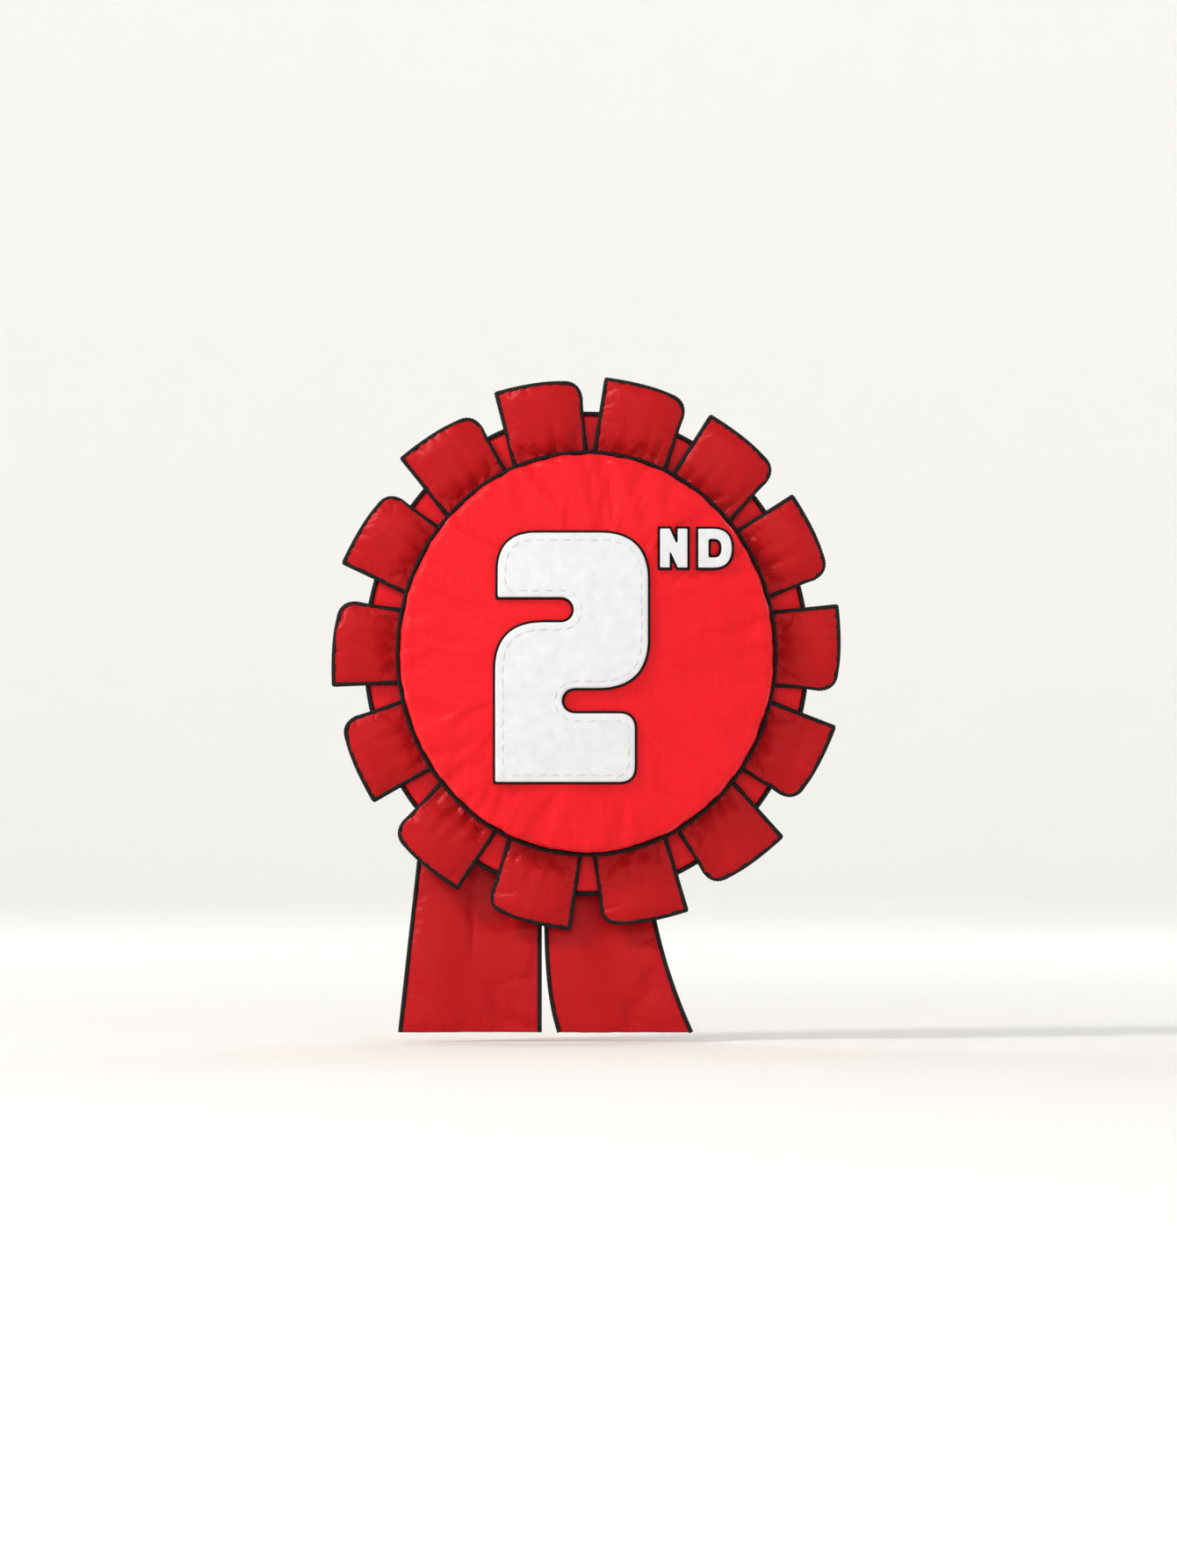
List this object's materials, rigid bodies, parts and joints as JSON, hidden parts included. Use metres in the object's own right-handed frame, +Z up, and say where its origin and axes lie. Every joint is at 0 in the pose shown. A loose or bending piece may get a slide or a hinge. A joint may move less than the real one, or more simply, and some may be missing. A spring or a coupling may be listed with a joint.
{
  "type": "award rosette",
  "caption": "Second-place award rosette: a domed fabric button with an applique numeral, a ring of edged ribbon petals, two hanging ribbon tails and a bar pin on the back.",
  "frame": {"origin": "centre of the back card's rear face, behind the middle of the button", "axes": "+Z up along the hanging rosette, the front faces -Y, +X to the viewer's right from the front"},
  "size_m": [0.1017, 0.0275, 0.1309],
  "materials": {
    "dark_red_satin": "woven polyester satin, soft sheen",
    "bright_red_satin": "woven polyester satin, soft sheen",
    "black_edging": "overlocked polyester thread, matt",
    "black_cord": "twisted polyester cord, matt",
    "black_felt": "needled felt, matt",
    "pale_grey_felt": "needled felt, matt",
    "greyboard": "uncoated recycled board, matt",
    "wadding": "polyester wadding, matt",
    "hot_melt_glue": "set hot-melt glue, soft gloss",
    "tinplate": "pressed tinplate, satin",
    "nickel_plated_steel": "nickel plate, bright"
  },
  "bodies": {
    "rosette": {"petal_01": "dark_red_satin", "petal_02": "dark_red_satin", "petal_03": "dark_red_satin", "petal_04": "dark_red_satin", "petal_05": "dark_red_satin", "petal_06": "dark_red_satin", "petal_07": "dark_red_satin", "petal_08": "dark_red_satin", "petal_09": "dark_red_satin", "petal_10": "dark_red_satin", "petal_11": "dark_red_satin", "petal_12": "dark_red_satin", "petal_13": "dark_red_satin", "petal_14": "dark_red_satin", "petal_edging_01": "black_edging", "petal_edging_02": "black_edging", "petal_edging_03": "black_edging", "petal_edging_04": "black_edging", "petal_edging_05": "black_edging", "petal_edging_06": "black_edging", "petal_edging_07": "black_edging", "petal_edging_08": "black_edging", "petal_edging_09": "black_edging", "petal_edging_10": "black_edging", "petal_edging_11": "black_edging", "petal_edging_12": "black_edging", "petal_edging_13": "black_edging", "petal_edging_14": "black_edging", "under_ribbon": "bright_red_satin", "under_ribbon_edging": "black_edging", "ring_card": "greyboard", "back_card": "greyboard", "card_glue_pad": "hot_melt_glue", "button_glue_pad": "hot_melt_glue", "button_back_plate": "greyboard", "button_cover": "bright_red_satin", "button_padding": "wadding", "button_shell": "tinplate", "button_piping": "black_cord", "numeral_2_backing": "black_felt", "numeral_2_face": "pale_grey_felt", "letter_n_backing": "black_felt", "letter_n_face": "pale_grey_felt", "letter_d_backing": "black_felt", "letter_d_face": "pale_grey_felt", "tail_left_top": "dark_red_satin", "tail_right_top": "dark_red_satin", "tail_left_staple": "nickel_plated_steel", "tail_right_staple": "nickel_plated_steel", "pin_base": "nickel_plated_steel", "pin_rivet": "nickel_plated_steel", "catch_housing": "nickel_plated_steel"},
    "tail_left": {"tail_left": "dark_red_satin", "tail_left_inner_edging": "black_edging", "tail_left_outer_edging": "black_edging"},
    "tail_right": {"tail_right": "dark_red_satin", "tail_right_inner_edging": "black_edging", "tail_right_outer_edging": "black_edging"},
    "pin_stem": {"pin_stem": "nickel_plated_steel"},
    "catch_sleeve": {"catch_sleeve": "nickel_plated_steel"}
  },
  "joints": [
    {"name": "pin_stem_swing", "type": "hinge", "parent": "rosette", "child": "pin_stem", "pos_m": [-0.0135, 0.004, 0.016], "axis": [0, 0, 1], "range_deg": [0, 95]},
    {"name": "catch_sleeve_turn", "type": "hinge", "parent": "rosette", "child": "catch_sleeve", "pos_m": [0.0136, 0.004, 0.016], "axis": [1, 0, 0], "range_deg": [0, 90]},
    {"name": "tail_left_swing", "type": "hinge", "parent": "rosette", "child": "tail_left", "pos_m": [-0.0206, -0.003, -0.026], "axis": [1, 0, 0], "range_deg": [0, 105]},
    {"name": "tail_right_swing", "type": "hinge", "parent": "rosette", "child": "tail_right", "pos_m": [0.002, -0.0036, -0.026], "axis": [1, 0, 0], "range_deg": [0, 105]}
  ]
}
